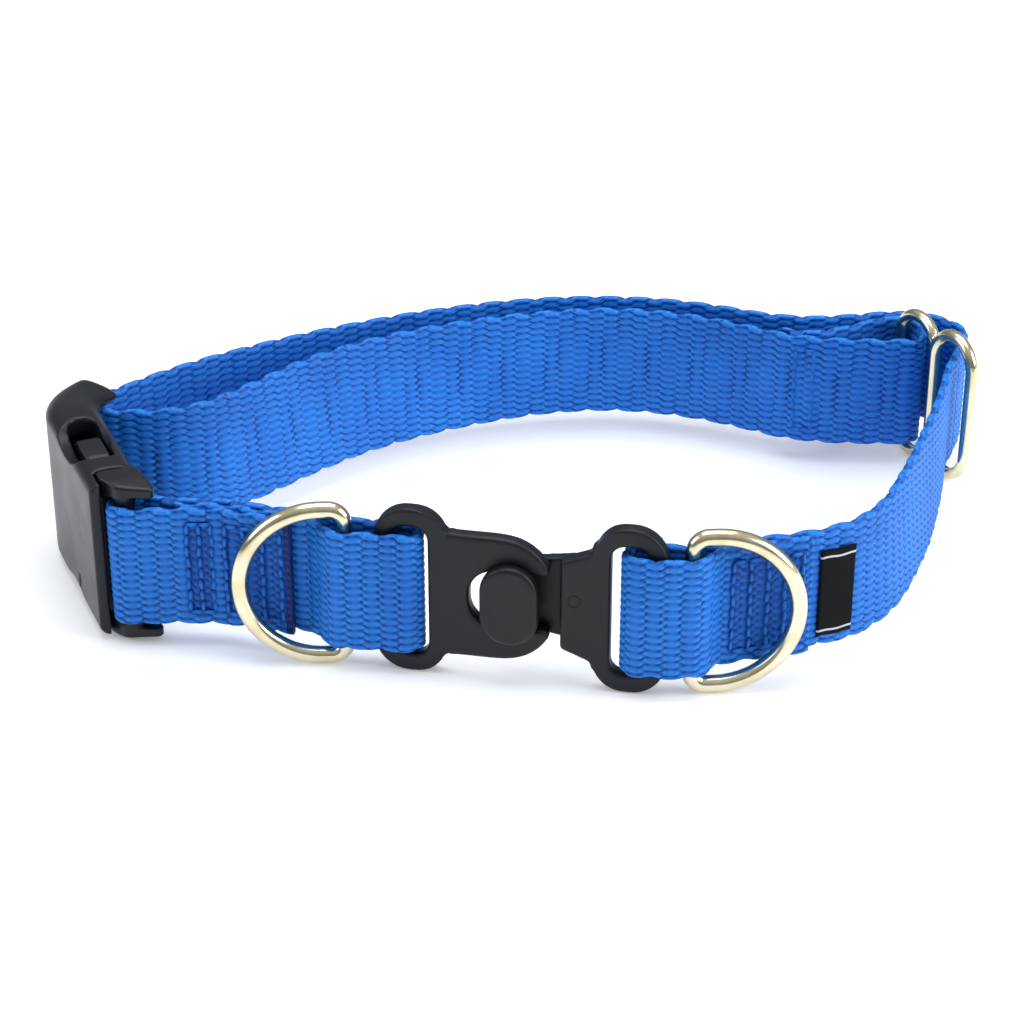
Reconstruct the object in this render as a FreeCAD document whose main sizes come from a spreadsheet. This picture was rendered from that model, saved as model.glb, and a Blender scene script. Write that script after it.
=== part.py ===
import FreeCAD, Part
import math
import os

# Breakaway dog collar in 1-inch nylon webbing, millimetres, +Z up.
# The closed collar stands on its lower edge, origin under the middle of the
# loop on the surface it stands on. -Y is the front (the breakaway buckle),
# -X the side-release buckle, +X the slider. Every strap runs upright, so its
# width is along Z and its route is a plan path of straight runs and arcs.

V = FreeCAD.Vector
doc = FreeCAD.newDocument("breakaway_collar")

# ----------------------------------------------------------------- dimensions
sheet = doc.addObject("Spreadsheet::Sheet", "Params")
CELLS = [
    # alias, value
    ("web_width", 25.4),        # webbing width
    ("web_thick", 1.9),         # webbing thickness
    ("ply_pitch", 2.05),        # centre to centre of stacked plies
    ("mid_height", 18.0),       # height of the collar's mid line
    ("frame_dx", -2.7),         # plan shift that centres the loop
    ("frame_dy", -1.37),
    # breakaway buckle
    ("brk_angle", -11.31),      # its line in plan, degrees from +X
    ("brk_x", 0.0),
    ("brk_y", -52.8),
    ("brk_plate", 3.4),         # plate thickness
    ("ring_half", 18.0),        # half height of the web rings
    ("ring_bar", 3.8),          # width of a web ring's bars
    ("slot_half", 14.0),        # half height of the web slots
    ("plate_half", 12.2),       # half height of the receiver plate
    ("jaw_half", 6.0),          # half of the jaw gap
    ("neck_half", 5.8),         # half height of the post's neck
    ("head_half", 8.5),         # half height of the oval head
    ("head_width", 11.5),
    ("head_thick", 2.6),
    ("tongue_thick", 2.6),
    ("brk_gap", 0.15),          # running gap, face to face
    # D-rings
    ("wire_rad", 1.7),
    ("dring_half", 16.1),       # half height of the wire's centre line
    ("dring_reach", 20.6),      # bar to far side, wire centres
    ("dring_corner", 3.0),
    # slider
    ("slider_pitch", 13.0),     # bar to bar
    ("slider_wire", 2.4),
    ("slider_half", 17.7),      # half height over all
    ("slider_angle", -61.5),
    ("slider_x", 94.4),
    ("slider_y", 38.9),
    # side-release buckle
    ("srb_angle", 112.5),       # its line in plan, degrees from +X
    ("srb_x", -79.3),
    ("srb_y", -32.4),
    ("srb_half", 17.6),         # half of its width, along Z
    ("srb_side", 5.5),          # half of its thickness
    ("srb_straight", 28.7),
    ("srb_bend", 17.0),
    ("srb_sweep", 62.0),
    ("cav_side", 2.9),
    ("cav_half", 13.5),
    ("cav_deep", 26.3),
    ("hood_wall", 2.1),
    ("end_bar_rad", 1.7),
    ("end_bar_r", 15.5),
    ("end_bar_phi", 50.0),
    ("male_bar_rad", 1.9),
    ("male_bar_p", -6.2),
    ("male_bar_q", -1.2),
    ("pivot_p", 1.75),
    ("pivot_z", 9.8),
    ("pivot_rad", 1.5),
    ("pivot_gap", 0.05),
]
for i, (alias, value) in enumerate(CELLS, start=1):
    sheet.set("A%d" % i, alias)
    sheet.set("B%d" % i, repr(value))
    sheet.setAlias("B%d" % i, alias)
doc.recompute()


def num(alias):
    return float(sheet.get(alias))


WW, WT, PP = num("web_width"), num("web_thick"), num("ply_pitch")
HT = WT / 2.0

# ------------------------------------------------------------ plan geometry


def unit(a):
    n = math.hypot(a[0], a[1])
    return (a[0] / n, a[1] / n)


def offset_line(pts, d):
    """Open polyline moved d to the left of its direction, corners mitred."""
    out = []
    n = len(pts)
    for i in range(n):
        if i == 0:
            t = unit((pts[1][0] - pts[0][0], pts[1][1] - pts[0][1]))
            out.append((pts[0][0] - t[1] * d, pts[0][1] + t[0] * d))
        elif i == n - 1:
            t = unit((pts[-1][0] - pts[-2][0], pts[-1][1] - pts[-2][1]))
            out.append((pts[-1][0] - t[1] * d, pts[-1][1] + t[0] * d))
        else:
            a = unit((pts[i][0] - pts[i - 1][0], pts[i][1] - pts[i - 1][1]))
            b = unit((pts[i + 1][0] - pts[i][0], pts[i + 1][1] - pts[i][1]))
            na, nb = (-a[1], a[0]), (-b[1], b[0])
            k = 1.0 + na[0] * nb[0] + na[1] * nb[1]
            out.append((pts[i][0] + (na[0] + nb[0]) * d / k,
                        pts[i][1] + (na[1] + nb[1]) * d / k))
    return out


def route(pts):
    """Points (x, y, corner radius) to a list of straight runs and tangent arcs."""
    segs = []
    here = (pts[0][0], pts[0][1])
    for i in range(1, len(pts) - 1):
        p0, p1, p2 = pts[i - 1], pts[i], pts[i + 1]
        a = unit((p1[0] - p0[0], p1[1] - p0[1]))
        b = unit((p2[0] - p1[0], p2[1] - p1[1]))
        cross = a[0] * b[1] - a[1] * b[0]
        dot = a[0] * b[0] + a[1] * b[1]
        turn = math.atan2(cross, dot)
        if abs(turn) < 1e-3:
            continue
        l1 = math.hypot(p1[0] - p0[0], p1[1] - p0[1])
        l2 = math.hypot(p2[0] - p1[0], p2[1] - p1[1])
        if p1[2]:
            r = p1[2]
        else:
            r = 0.47 * min(l1, l2) / math.tan(abs(turn) / 2.0)
        cut = r * math.tan(abs(turn) / 2.0)
        s = (p1[0] - a[0] * cut, p1[1] - a[1] * cut)
        e = (p1[0] + b[0] * cut, p1[1] + b[1] * cut)
        gone = (s[0] - here[0]) * a[0] + (s[1] - here[1]) * a[1]
        if gone < -1e-6:
            raise ValueError("corner %d of a route is too large by %.3f" % (i, -gone))
        if gone > 1e-4:
            segs.append(("line", here, s))
        side = 1.0 if turn > 0 else -1.0
        c = (s[0] - a[1] * r * side, s[1] + a[0] * r * side)
        a0 = math.atan2(s[1] - c[1], s[0] - c[0])
        segs.append(("arc", c, r, a0, turn))
        here = e
    end = (pts[-1][0], pts[-1][1])
    if math.hypot(end[0] - here[0], end[1] - here[1]) > 1e-4:
        segs.append(("line", here, end))
    return segs


def moved(segs, d):
    """Runs and arcs shifted d to the left of their direction."""
    out = []
    for s in segs:
        if s[0] == "line":
            t = unit((s[2][0] - s[1][0], s[2][1] - s[1][1]))
            o = (-t[1] * d, t[0] * d)
            out.append(("line", (s[1][0] + o[0], s[1][1] + o[1]),
                        (s[2][0] + o[0], s[2][1] + o[1])))
        else:
            side = 1.0 if s[4] > 0 else -1.0
            out.append(("arc", s[1], s[2] - d * side, s[3], s[4]))
    return out


def seg_start(s):
    if s[0] == "line":
        return s[1]
    return (s[1][0] + s[2] * math.cos(s[3]), s[1][1] + s[2] * math.sin(s[3]))


def seg_end(s):
    if s[0] == "line":
        return s[2]
    a = s[3] + s[4]
    return (s[1][0] + s[2] * math.cos(a), s[1][1] + s[2] * math.sin(a))


def backward(segs):
    out = []
    for s in reversed(segs):
        if s[0] == "line":
            out.append(("line", s[2], s[1]))
        else:
            out.append(("arc", s[1], s[2], s[3] + s[4], -s[4]))
    return out


def strip_outline(pts, half):
    """Closed outline of a strip of the given half thickness along a route."""
    segs = route(pts)
    left, right = moved(segs, half), backward(moved(segs, -half))
    return (left + [("line", seg_end(left[-1]), seg_start(right[0]))]
            + right + [("line", seg_end(right[-1]), seg_start(left[0]))])


def length_of(segs):
    total = 0.0
    for s in segs:
        if s[0] == "line":
            total += math.hypot(s[2][0] - s[1][0], s[2][1] - s[1][1])
        else:
            total += s[2] * abs(s[4])
    return total


# ------------------------------------------------------- document helpers
NODES = []


def place(obj, x, y, z, angle=None):
    """Binds an object's place to the sheet; x, y, z and angle are expressions."""
    if angle is not None:
        obj.Placement = FreeCAD.Placement(V(0, 0, 0), FreeCAD.Rotation(V(0, 0, 1), 10))
        obj.setExpression("Placement.Rotation.Angle", angle)
    obj.setExpression("Placement.Base.x", x)
    obj.setExpression("Placement.Base.y", y)
    obj.setExpression("Placement.Base.z", z)


def new_body(label):
    b = doc.addObject("PartDesign::Body", label)
    b.Label = label
    NODES.append(b)
    return b


def plane(b, role):
    for f in b.Origin.OriginFeatures:
        if f.Role == role:
            return f
    raise RuntimeError("no plane " + role)


def new_sketch(b, name, role="XY_Plane", lift=None):
    s = b.newObject("Sketcher::SketchObject", name)
    s.AttachmentSupport = [(plane(b, role), "")]
    s.MapMode = "FlatFace"
    if lift is not None:
        s.setExpression("AttachmentOffset.Base.z", lift)
    return s


def draw(sk, segs):
    """Adds straight runs and arcs, end to end, to a sketch."""
    first = None
    last = None
    for s in segs:
        if s[0] == "line":
            g = Part.LineSegment(V(s[1][0], s[1][1], 0), V(s[2][0], s[2][1], 0))
            k = sk.addGeometry(g, False)
            ends = (1, 2)
        else:
            circle = Part.Circle(V(s[1][0], s[1][1], 0), V(0, 0, 1), s[2])
            if s[4] > 0:
                g = Part.ArcOfCircle(circle, s[3], s[3] + s[4])
                ends = (1, 2)
            else:
                g = Part.ArcOfCircle(circle, s[3] + s[4], s[3])
                ends = (2, 1)
            k = sk.addGeometry(g, False)
        if first is None:
            first = (k, ends[0])
        last = (k, ends[1])
    return first, last


def poly(pts):
    """Closed outline from points (x, y, corner radius or 0)."""
    n = len(pts)
    corners = []
    for i in range(n):
        p0, p1, p2 = pts[i - 1], pts[i], pts[(i + 1) % n]
        if p1[2] <= 0:
            corners.append((p1[:2], p1[:2], None))
            continue
        a = unit((p1[0] - p0[0], p1[1] - p0[1]))
        b = unit((p2[0] - p1[0], p2[1] - p1[1]))
        turn = math.atan2(a[0] * b[1] - a[1] * b[0], a[0] * b[0] + a[1] * b[1])
        r = p1[2]
        cut = r * math.tan(abs(turn) / 2.0)
        s = (p1[0] - a[0] * cut, p1[1] - a[1] * cut)
        e = (p1[0] + b[0] * cut, p1[1] + b[1] * cut)
        side = 1.0 if turn > 0 else -1.0
        c = (s[0] - a[1] * r * side, s[1] + a[0] * r * side)
        corners.append((s, e, ("arc", c, r, math.atan2(s[1] - c[1], s[0] - c[0]), turn)))
    segs = []
    for i in range(n):
        s, e, arc = corners[i]
        if arc:
            segs.append(arc)
        nxt = corners[(i + 1) % n][0]
        if math.hypot(nxt[0] - e[0], nxt[1] - e[1]) > 1e-5:
            segs.append(("line", e, nxt))
    return segs


def pad(b, sk, name, length, reverse=False):
    f = b.newObject("PartDesign::Pad", name)
    f.Profile = sk
    f.setExpression("Length", length)
    f.Reversed = reverse
    b.Tip = f
    doc.recompute()
    return f


def pocket(b, sk, name, length, reverse=False):
    before = b.Shape.Volume
    f = b.newObject("PartDesign::Pocket", name)
    f.Profile = sk
    f.setExpression("Length", length)
    f.Reversed = reverse
    b.Tip = f
    doc.recompute()
    if b.Shape.Volume > before - 1e-3:
        raise RuntimeError(name + " removed nothing")
    return f


def sym(f):
    """Grows a pad to both sides of its sketch."""
    if hasattr(f, "SideType"):
        f.SideType = "Symmetric"
    else:
        f.Midplane = True
    doc.recompute()
    return f


def soften(b, name, radius):
    """Rounds the front and back rims of a plate padded about its XZ plane."""
    h = b.Tip.Length.Value / 2
    return round_edges(b, name, lambda e: e.BoundBox.YLength < 0.01
                       and abs(abs(e.BoundBox.YMin) - h) < 0.01, radius)


def bar(b, name, x, y, radius, z0, length):
    """Round bar along Z at (x, y), its radius bound to the sheet."""
    sk = new_sketch(b, name + "_section", lift=z0)
    sk.addGeometry(Part.Circle(V(x, y, 0), V(0, 0, 1), num(radius)), False)
    k = sk.addConstraint(Sketcher_constraint("Radius", 0, num(radius)))
    sk.setExpression("Constraints[%d]" % k, "Params." + radius)
    return pad(b, sk, name, length)


def Sketcher_constraint(*args):
    import Sketcher
    return Sketcher.Constraint(*args)


def round_edges(b, name, pick, radius):
    """Fillet on the edges that pick() chooses; radius is an expression."""
    base = b.Tip
    names = ["Edge%d" % (i + 1) for i, e in enumerate(base.Shape.Edges) if pick(e)]
    f = b.newObject("PartDesign::Fillet", name)
    f.Base = (base, names)
    f.setExpression("Radius", radius)
    b.Tip = f
    doc.recompute()
    return f


# ---------------------------------------------------- side-release buckle frame
SA = math.radians(num("srb_angle"))
SW = (math.cos(SA), math.sin(SA))            # along the buckle, towards its back
SQ = (-math.sin(SA), math.cos(SA))           # outward across its thickness


def srb(p, q):
    return (num("srb_x") + p * SW[0] + q * SQ[0], num("srb_y") + p * SW[1] + q * SQ[1])


def srb_arc(r, phi):
    """Point at radius r and angle phi on the buckle's curved back end."""
    f = math.radians(phi)
    return (num("srb_straight") + r * math.sin(f), -num("srb_bend") + r * math.cos(f))


MB = srb(num("male_bar_p"), num("male_bar_q"))
FB = srb(*srb_arc(num("end_bar_r"), num("end_bar_phi")))

# ------------------------------------------------------ breakaway buckle frame
BA = math.radians(num("brk_angle"))
BU = (math.cos(BA), math.sin(BA))
BN = (BU[1], -BU[0])                          # outward


def brk(u, n):
    return (num("brk_x") + u * BU[0] + n * BN[0], num("brk_y") + u * BU[1] + n * BN[1])


# --------------------------------------------------------------- strap routes
RW = num("male_bar_rad") + 0.15 + HT          # webbing's centre line round a bar

# Left strap, from its cut outer end round the buckle bar, along the inside,
# round the receiver bar, back over the D-ring bar and under the outer ply.
inner_left = [(-66.0, -36.1), (-57.0, -36.4), (-29.5, -44.6)]
mid_left = offset_line(inner_left, -PP)
out_left = offset_line(inner_left, -2 * PP)
k = 0.54
A_end = (out_left[1][0] + (out_left[2][0] - out_left[1][0]) * k,
         out_left[1][1] + (out_left[2][1] - out_left[1][1]) * k)
m_join = (mid_left[1][0] + (mid_left[2][0] - mid_left[1][0]) * 0.63,
          mid_left[1][1] + (mid_left[2][1] - mid_left[1][1]) * 0.63)
left_pts = [
    (A_end[0], A_end[1], 0),
    (out_left[1][0], out_left[1][1], 9.0),
    (out_left[0][0] - 1.0, out_left[0][1] - 0.02, 14.0),
    (MB[0] + 3.0, MB[1] - RW, 6.0),
    (MB[0] - RW, MB[1] - RW, RW - 0.25),
    (MB[0] - RW, MB[1] + RW, RW - 0.25),
    (MB[0] + 3.0, MB[1] + RW, 5.0),
    (inner_left[0][0], inner_left[0][1], 12.0),
    (inner_left[1][0], inner_left[1][1], 9.0),
    (inner_left[2][0], inner_left[2][1], 10.0),
    brk(-24.5, -3.1) + (6.0,),
    brk(-18.2, -3.1) + (2.9,),
    brk(-18.2, 3.1) + (2.9,),
    brk(-26.5, 3.1) + (6.0,),
    (-34.5, -50.3, 3.2),
    (m_join[0] + 1.2, m_join[1] - 0.36, 3.0),
    (mid_left[1][0], mid_left[1][1], 9.0),
    (mid_left[0][0], mid_left[0][1], 0),
]

# Main strap behind the slider: sewn end, slider's first slot, inner ply, end
# bar of the female buckle, outer ply, and into the slider's second slot.
E_IN, E_OUT = math.radians(172.0), math.radians(40.0)
rb = num("end_bar_rad") + 0.3 + HT
t_in = (FB[0] - rb * math.cos(E_IN - math.pi / 2), FB[1] - rb * math.sin(E_IN - math.pi / 2))
t_out = (FB[0] - rb * math.cos(E_OUT - math.pi / 2), FB[1] - rb * math.sin(E_OUT - math.pi / 2))
half_turn = (E_IN - E_OUT) / 2.0
corner = (t_in[0] + rb * math.tan(half_turn) * math.cos(E_IN),
          t_in[1] + rb * math.tan(half_turn) * math.sin(E_IN))
a_in = (t_in[0] - 8.0 * math.cos(E_IN), t_in[1] - 8.0 * math.sin(E_IN))
a_out = (t_out[0] + 9.0 * math.cos(E_OUT), t_out[1] + 9.0 * math.sin(E_OUT))
SPLIT = (98.0, 33.4)
back_pts = [
    (60.8, 46.4, 0),
    (67.5, 44.2, 0),
    (76.0, 47.5, 0),
    (82.5, 51.6, 8.0),
    (89.6, 53.4, 2.6),
    (92.2, 48.2, 4.0),
    (91.9, 39.8, 3.4),
    (80.0, 39.9, 0),
    (70.0, 40.6, 0),
    (61.5, 42.9, 0),
    (52.5, 48.2, 0),
    (43.0, 53.0, 0),
    (31.5, 56.6, 0),
    (19.5, 57.6, 0),
    (6.0, 55.4, 0),
    (-7.5, 51.0, 0),
    (-21.0, 45.0, 0),
    (-33.0, 37.7, 0),
    (-44.0, 28.4, 0),
    (-54.0, 17.0, 0),
    (-63.0, 7.6, 0),
    (-72.0, 3.6, 0),
    (a_in[0], a_in[1], 0),
    (corner[0], corner[1], rb),
    (a_out[0], a_out[1], 0),
    (-77.0, 22.4, 0),
    (-67.5, 30.2, 0),
    (-57.0, 37.3, 0),
    (-46.5, 43.6, 0),
    (-35.0, 49.6, 0),
    (-21.5, 55.7, 0),
    (-7.0, 60.6, 0),
    (7.0, 63.7, 0),
    (21.0, 64.6, 0),
    (35.0, 63.2, 0),
    (47.5, 59.3, 0),
    (58.5, 54.3, 0),
    (68.0, 52.6, 0),
    (78.5, 54.0, 0),
    (88.0, 56.2, 0),
    (97.0, 53.8, 0),
    (102.2, 46.5, 0),
    (100.2, 39.0, 0),
    (SPLIT[0] + 0.022, SPLIT[1] + 0.056, 0),
]

# Main strap in front of the slider: right side, inside ply to the post ring,
# round its bar, over the D-ring bar and stitched to itself.
main_right = [(36.6, -54.9), (58.5, -49.2), (67.0, -45.4)]
top_right = offset_line(main_right, -PP)
kk = 0.93
R_end = (top_right[0][0] + (top_right[1][0] - top_right[0][0]) * kk,
         top_right[0][1] + (top_right[1][1] - top_right[0][1]) * kk)
front_pts = [
    (SPLIT[0], SPLIT[1], 0),
    (95.5, 26.9, 0),
    (92.6, 14.0, 0),
    (88.6, 0.0, 0),
    (84.2, -13.5, 0),
    (79.2, -26.5, 0),
    (74.5, -36.8, 0),
    (67.0, -45.4, 0),
    (58.5, -49.2, 16.0),
    (36.6, -54.9, 10.0),
    brk(27.5, -3.1) + (8.0,),
    brk(22.1, -3.1) + (2.9,),
    brk(22.1, 3.1) + (2.9,),
    brk(29.5, 3.1) + (8.0,),
    (35.9, -61.4, 3.0),
    (39.2, -56.35, 2.6),
    (R_end[0], R_end[1], 0),
]

for nm, pts in (("left", left_pts), ("back", back_pts), ("front", front_pts)):
    segs = route(pts)
    radii = sorted(s[2] for s in segs if s[0] == "arc")
    print("route", nm, "length %.1f" % length_of(segs), "least radius %.2f" % radii[0])


def strap(label, pts):
    b = new_body(label)
    sk = new_sketch(b, label + "_route")
    draw(sk, strip_outline(pts, HT))
    pad(b, sk, label + "_pad", "Params.web_width")
    place(b, "Params.frame_dx", "Params.frame_dy",
          "Params.mid_height - Params.web_width / 2")
    return b


strap("left_webbing", left_pts)
strap("main_webbing_back", back_pts)
strap("main_webbing_front", front_pts)

# ----------------------------------------------------------- woven label
b = new_body("woven_label")
sk = new_sketch(b, "label_outline")
lab = offset_line([(59.0, -48.98), (66.2, -45.76)], -(HT + 0.35))
seg = route([(lab[0][0], lab[0][1], 0), (lab[1][0], lab[1][1], 0)])
draw(sk, moved(seg, 0.3) + [("line", seg_end(moved(seg, 0.3)[0]), seg_end(moved(seg, -0.3)[0]))]
     + backward(moved(seg, -0.3)) + [("line", seg_start(moved(seg, -0.3)[0]), seg_start(moved(seg, 0.3)[0]))])
sheet.set("A%d" % (len(CELLS) + 1), "label_height")
sheet.set("B%d" % (len(CELLS) + 1), "19.0")
sheet.setAlias("B%d" % (len(CELLS) + 1), "label_height")
doc.recompute()
pad(b, sk, "label_pad", "Params.label_height")
place(b, "Params.frame_dx", "Params.frame_dy", "Params.mid_height - Params.label_height / 2 - 1")


# ----------------------------------------------------------------- D-rings
def d_ring(label, x, y, angle):
    """Round wire bent to a D: straight bar along Z, bow towards local +X."""
    b = new_body(label)
    hh, reach, rc = num("dring_half"), num("dring_reach"), num("dring_corner")
    leg = reach - hh
    path = new_sketch(b, label + "_path", "XZ_Plane")
    segs = [
        ("line", (0, 0), (0, hh - rc)),
        ("arc", (rc, hh - rc), rc, math.pi, -math.pi / 2),
        ("line", (rc, hh), (leg, hh)),
        ("arc", (leg, 0), hh, math.pi / 2, -math.pi),
        ("line", (leg, -hh), (rc, -hh)),
        ("arc", (rc, -hh + rc), rc, -math.pi / 2, -math.pi / 2),
        ("line", (0, -hh + rc), (0, 0)),
    ]
    draw(path, segs)
    prof = new_sketch(b, label + "_wire", "XY_Plane")
    prof.addGeometry(Part.Circle(V(0, 0, 0), V(0, 0, 1), num("wire_rad")), False)
    c = prof.addConstraint(Sketcher_constraint("Radius", 0, num("wire_rad")))
    prof.setExpression("Constraints[%d]" % c, "Params.wire_rad")
    doc.recompute()
    f = b.newObject("PartDesign::AdditivePipe", label + "_bend")
    f.Profile = prof
    f.Spine = (path, ["Edge%d" % (i + 1) for i in range(len(segs))])
    f.Mode = "Frenet"
    b.Tip = f
    doc.recompute()
    place(b, "%.4f + Params.frame_dx" % x, "%.4f + Params.frame_dy" % y,
          "Params.mid_height", "%.3f" % angle)
    return b


LEFT_D = (-32.5, -46.95)
RIGHT_D = (34.4, -58.35)
d_ring("d_ring_left", LEFT_D[0], LEFT_D[1], 183.0)
d_ring("d_ring_right", RIGHT_D[0], RIGHT_D[1], 3.0)

# ------------------------------------------------------------------- slider
b = new_body("slider")
sk = new_sketch(b, "slider_outline", "XZ_Plane")
pit, wr, sh = num("slider_pitch"), num("slider_wire"), num("slider_half")
ro = pit / 2 + wr / 2
ri = pit / 2 - wr / 2
zc = sh - ro
drop = math.sqrt(ro * ro - (pit / 2) ** 2)
ang = math.atan2(drop, pit / 2)
outer = [
    ("arc", (-pit / 2, zc), ro, math.pi, -(math.pi - ang)),
    ("arc", (pit / 2, zc), ro, math.pi - ang, -(math.pi - ang)),
    ("line", (pit / 2 + ro, zc), (pit / 2 + ro, -zc)),
    ("arc", (pit / 2, -zc), ro, 0.0, -(math.pi - ang)),
    ("arc", (-pit / 2, -zc), ro, -ang, -(math.pi - ang)),
    ("line", (-pit / 2 - ro, -zc), (-pit / 2 - ro, zc)),
]
draw(sk, outer)
for cx in (-pit / 2, pit / 2):
    draw(sk, [
        ("arc", (cx, zc), ri, math.pi, -math.pi),
        ("line", (cx + ri, zc), (cx + ri, -zc)),
        ("arc", (cx, -zc), ri, 0.0, -math.pi),
        ("line", (cx - ri, -zc), (cx - ri, zc)),
    ])
sym(pad(b, sk, "slider_pad", "Params.slider_wire"))
place(b, "Params.slider_x + Params.frame_dx", "Params.slider_y + Params.frame_dy",
      "Params.mid_height", "Params.slider_angle * 1deg")

# ------------------------------------------------------- breakaway buckle
PT = num("brk_plate")
RH, RB, SH = num("ring_half"), num("ring_bar"), num("slot_half")


def brk_place(obj):
    place(obj, "Params.brk_x + Params.frame_dx", "Params.brk_y + Params.frame_dy",
          "Params.mid_height", "Params.brk_angle * 1deg")


# Receiver: web ring, flat plate and two jaws round an open keyhole.
b = new_body("breakaway_receiver")
sk = new_sketch(b, "receiver_outline", "XZ_Plane")
ph, jh = num("plate_half"), num("jaw_half")
draw(sk, poly([
    (-27.2, -RH, 6.5), (-12.6, -RH, 4.0), (-12.0, -ph, 1.2), (2.6, -ph, 4.5), (7.6, -jh - 1.6, 1.2),
    (7.2, -jh, 1.0), (-8.3, -jh, 5.4), (-8.3, jh, 5.4), (7.2, jh, 1.0), (7.6, jh + 1.6, 1.2),
    (2.6, ph, 4.5), (-12.0, ph, 1.2), (-12.6, RH, 4.0), (-27.2, RH, 6.5)]))
draw(sk, poly([(-23.4, -SH, 2.8), (-16.4, -SH, 2.8), (-16.4, SH, 2.8), (-23.4, SH, 2.8)]))
sym(pad(b, sk, "receiver_pad", "Params.brk_plate"))
soften(b, "receiver_soft", "0.7")
brk_place(b)

# Post half: web ring, stepped plate, tongue behind the receiver, neck and
# oval head in front of it.
b = new_body("breakaway_post_half")
sk = new_sketch(b, "post_outline", "XZ_Plane")
draw(sk, poly([
    (9.6, -9.6, 0.8), (15.6, -12.0, 1.2), (15.9, -RH, 4.0), (30.4, -RH, 6.5), (30.4, RH, 6.5),
    (15.9, RH, 4.0), (15.6, 12.0, 1.2), (9.6, 9.6, 0.8)]))
draw(sk, poly([(19.4, -SH, 2.8), (26.6, -SH, 2.8), (26.6, SH, 2.8), (19.4, SH, 2.8)]))
sym(pad(b, sk, "post_pad", "Params.brk_plate"))
soften(b, "post_soft", "0.7")
# The XZ plane's normal is -Y, which is outward, so a positive lift is outward.
sk = new_sketch(b, "tongue_outline", "XZ_Plane",
                "-1 * (Params.brk_plate / 2 + Params.brk_gap + Params.tongue_thick)")
draw(sk, poly([(-4.2, -6.6, 3.0), (14.0, -9.4, 1.5), (14.0, 9.4, 1.5), (-4.2, 6.6, 3.0)]))
pad(b, sk, "tongue_pad", "Params.tongue_thick")
sk = new_sketch(b, "step_outline", "XZ_Plane",
                "-1 * (Params.brk_plate / 2 + Params.brk_gap + 0.4)")
draw(sk, poly([(9.8, -9.2, 0.8), (13.8, -9.2, 0.8), (13.8, 9.2, 0.8), (9.8, 9.2, 0.8)]))
pad(b, sk, "step_pad", "1.2")
sk = new_sketch(b, "neck_outline", "XZ_Plane",
                "-1 * (Params.brk_plate / 2 + Params.brk_gap + 0.5)")
nh = num("neck_half")
draw(sk, poly([(-3.6, -nh, 3.4), (3.6, -nh, 3.4), (3.6, nh, 3.4), (-3.6, nh, 3.4)]))
pad(b, sk, "neck_pad", "Params.brk_plate + 2 * Params.brk_gap + 1")
sk = new_sketch(b, "head_outline", "XZ_Plane", "Params.brk_plate / 2 + Params.brk_gap")
hw, hh = num("head_width") / 2, num("head_half")
draw(sk, poly([(-hw, -hh, hw - 0.05), (hw, -hh, hw - 0.05), (hw, hh, hw - 0.05), (-hw, hh, hw - 0.05)]))
hp = pad(b, sk, "head_pad", "Params.head_thick")
front = num("brk_plate") / 2 + num("brk_gap") + num("head_thick")
round_edges(b, "head_soft", lambda e: all(abs(v.Y + front) < 0.01 for v in e.Vertexes), "0.9")
brk_place(b)


# ----------------------------------------------------- side-release buckle
def srb_place(obj):
    place(obj, "Params.srb_x + Params.frame_dx", "Params.srb_y + Params.frame_dy",
          "Params.mid_height", "Params.srb_angle * 1deg")


# In the buckle's own frame X runs from its mouth to its back, Y outward.
side, strt, bend = num("srb_side"), num("srb_straight"), num("srb_bend")
sweep = math.radians(num("srb_sweep"))
cc = (strt, -bend)
cs, cd, chh = num("cav_side"), num("cav_deep"), num("cav_half")
b = new_body("buckle_female")
sk = new_sketch(b, "female_outline", "XY_Plane", "-1 * Params.srb_half")
r_out, r_in = bend + side, bend - side
p_out = (cc[0] + r_out * math.sin(sweep), cc[1] + r_out * math.cos(sweep))
p_in = (cc[0] + r_in * math.sin(sweep), cc[1] + r_in * math.cos(sweep))
draw(sk, [
    ("line", (-5.0, side), (strt, side)),
    ("arc", cc, r_out, math.pi / 2, -sweep),
    ("line", p_out, p_in),
    ("arc", cc, r_in, math.pi / 2 - sweep, sweep),
    ("line", (strt, -side), (0.3, -side)),
    ("line", (0.3, -side), (0.3, 3.3)),
    ("line", (0.3, 3.3), (-5.0, 3.3)),
    ("line", (-5.0, 3.3), (-5.0, side)),
])
pad(b, sk, "female_pad", "2 * Params.srb_half")
top = num("srb_half")
round_edges(b, "female_soft",
            lambda e: (abs(abs(e.BoundBox.ZMin) - top) < 0.01 and e.BoundBox.ZLength < 0.01
                       and (e.BoundBox.YMin > side - 0.1 or e.BoundBox.XMax > strt + 5.0)),
            "1.6")
# Mouth cavity that takes the tongue and the two prongs.
sk = new_sketch(b, "mouth_outline", "XY_Plane", "-1 * Params.cav_half")
draw(sk, poly([(-1.0, -cs, 0), (cd, -cs, 0), (cd, cs, 0), (-1.0, cs, 0)]))
pocket(b, sk, "mouth_pocket", "2 * Params.cav_half", True)
# Windows in both edges, where the prong buttons come out.
sk = new_sketch(b, "window_outline", "XY_Plane", "-1 * Params.srb_half - 1")
draw(sk, poly([(6.0, -cs, 1.2), (24.6, -cs, 2.4), (24.6, cs, 2.4), (6.0, cs, 1.2)]))
pocket(b, sk, "window_pocket", "2 * Params.srb_half + 2", True)
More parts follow.
